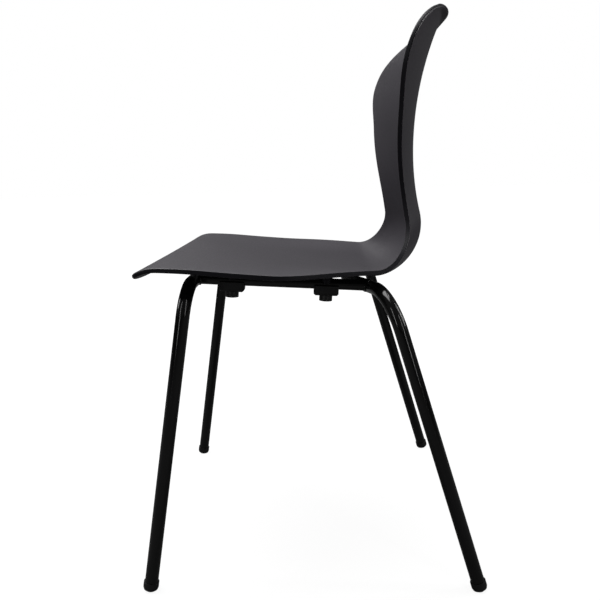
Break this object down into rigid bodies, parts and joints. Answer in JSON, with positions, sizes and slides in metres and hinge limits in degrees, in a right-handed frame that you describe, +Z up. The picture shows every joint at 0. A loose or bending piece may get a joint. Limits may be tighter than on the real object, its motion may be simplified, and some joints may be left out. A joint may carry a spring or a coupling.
{
  "type": "plastic dining chair",
  "caption": "Stacking-style dining chair with a one-piece moulded plastic seat and waisted back on a bent steel tube underframe with splayed legs.",
  "frame": {"origin": "on the floor, at the middle of the chair's box in plan", "axes": "+Z up from the floor, -Y toward the front of the seat, +X toward the sitter's left; X = 0 is the mirror plane"},
  "size_m": [0.4972, 0.4904, 0.8078],
  "materials": {
    "shell_plastic": "matte black with a fine moulded grain and a faint purple cast",
    "tube_paint": "glossy black powder coat",
    "glide_plastic": "matte black, scuffed at the sole",
    "saddle_plastic": "satin black",
    "bolt_steel": "dark zinc plated",
    "washer_steel": "zinc plated",
    "insert_brass": "plain brass"
  },
  "bodies": {
    "root": {"seat_shell": "shell_plastic", "front_leg_arch": "tube_paint", "rear_leg_arch": "tube_paint", "left_rail": "tube_paint", "right_rail": "tube_paint", "front_left_glide": "glide_plastic", "front_right_glide": "glide_plastic", "rear_left_glide": "glide_plastic", "rear_right_glide": "glide_plastic", "front_left_saddle": "saddle_plastic", "front_right_saddle": "saddle_plastic", "rear_left_saddle": "saddle_plastic", "rear_right_saddle": "saddle_plastic", "mounting_bolts": "bolt_steel", "bolt_washers": "washer_steel", "threaded_inserts": "insert_brass"}
  },
  "joints": []
}
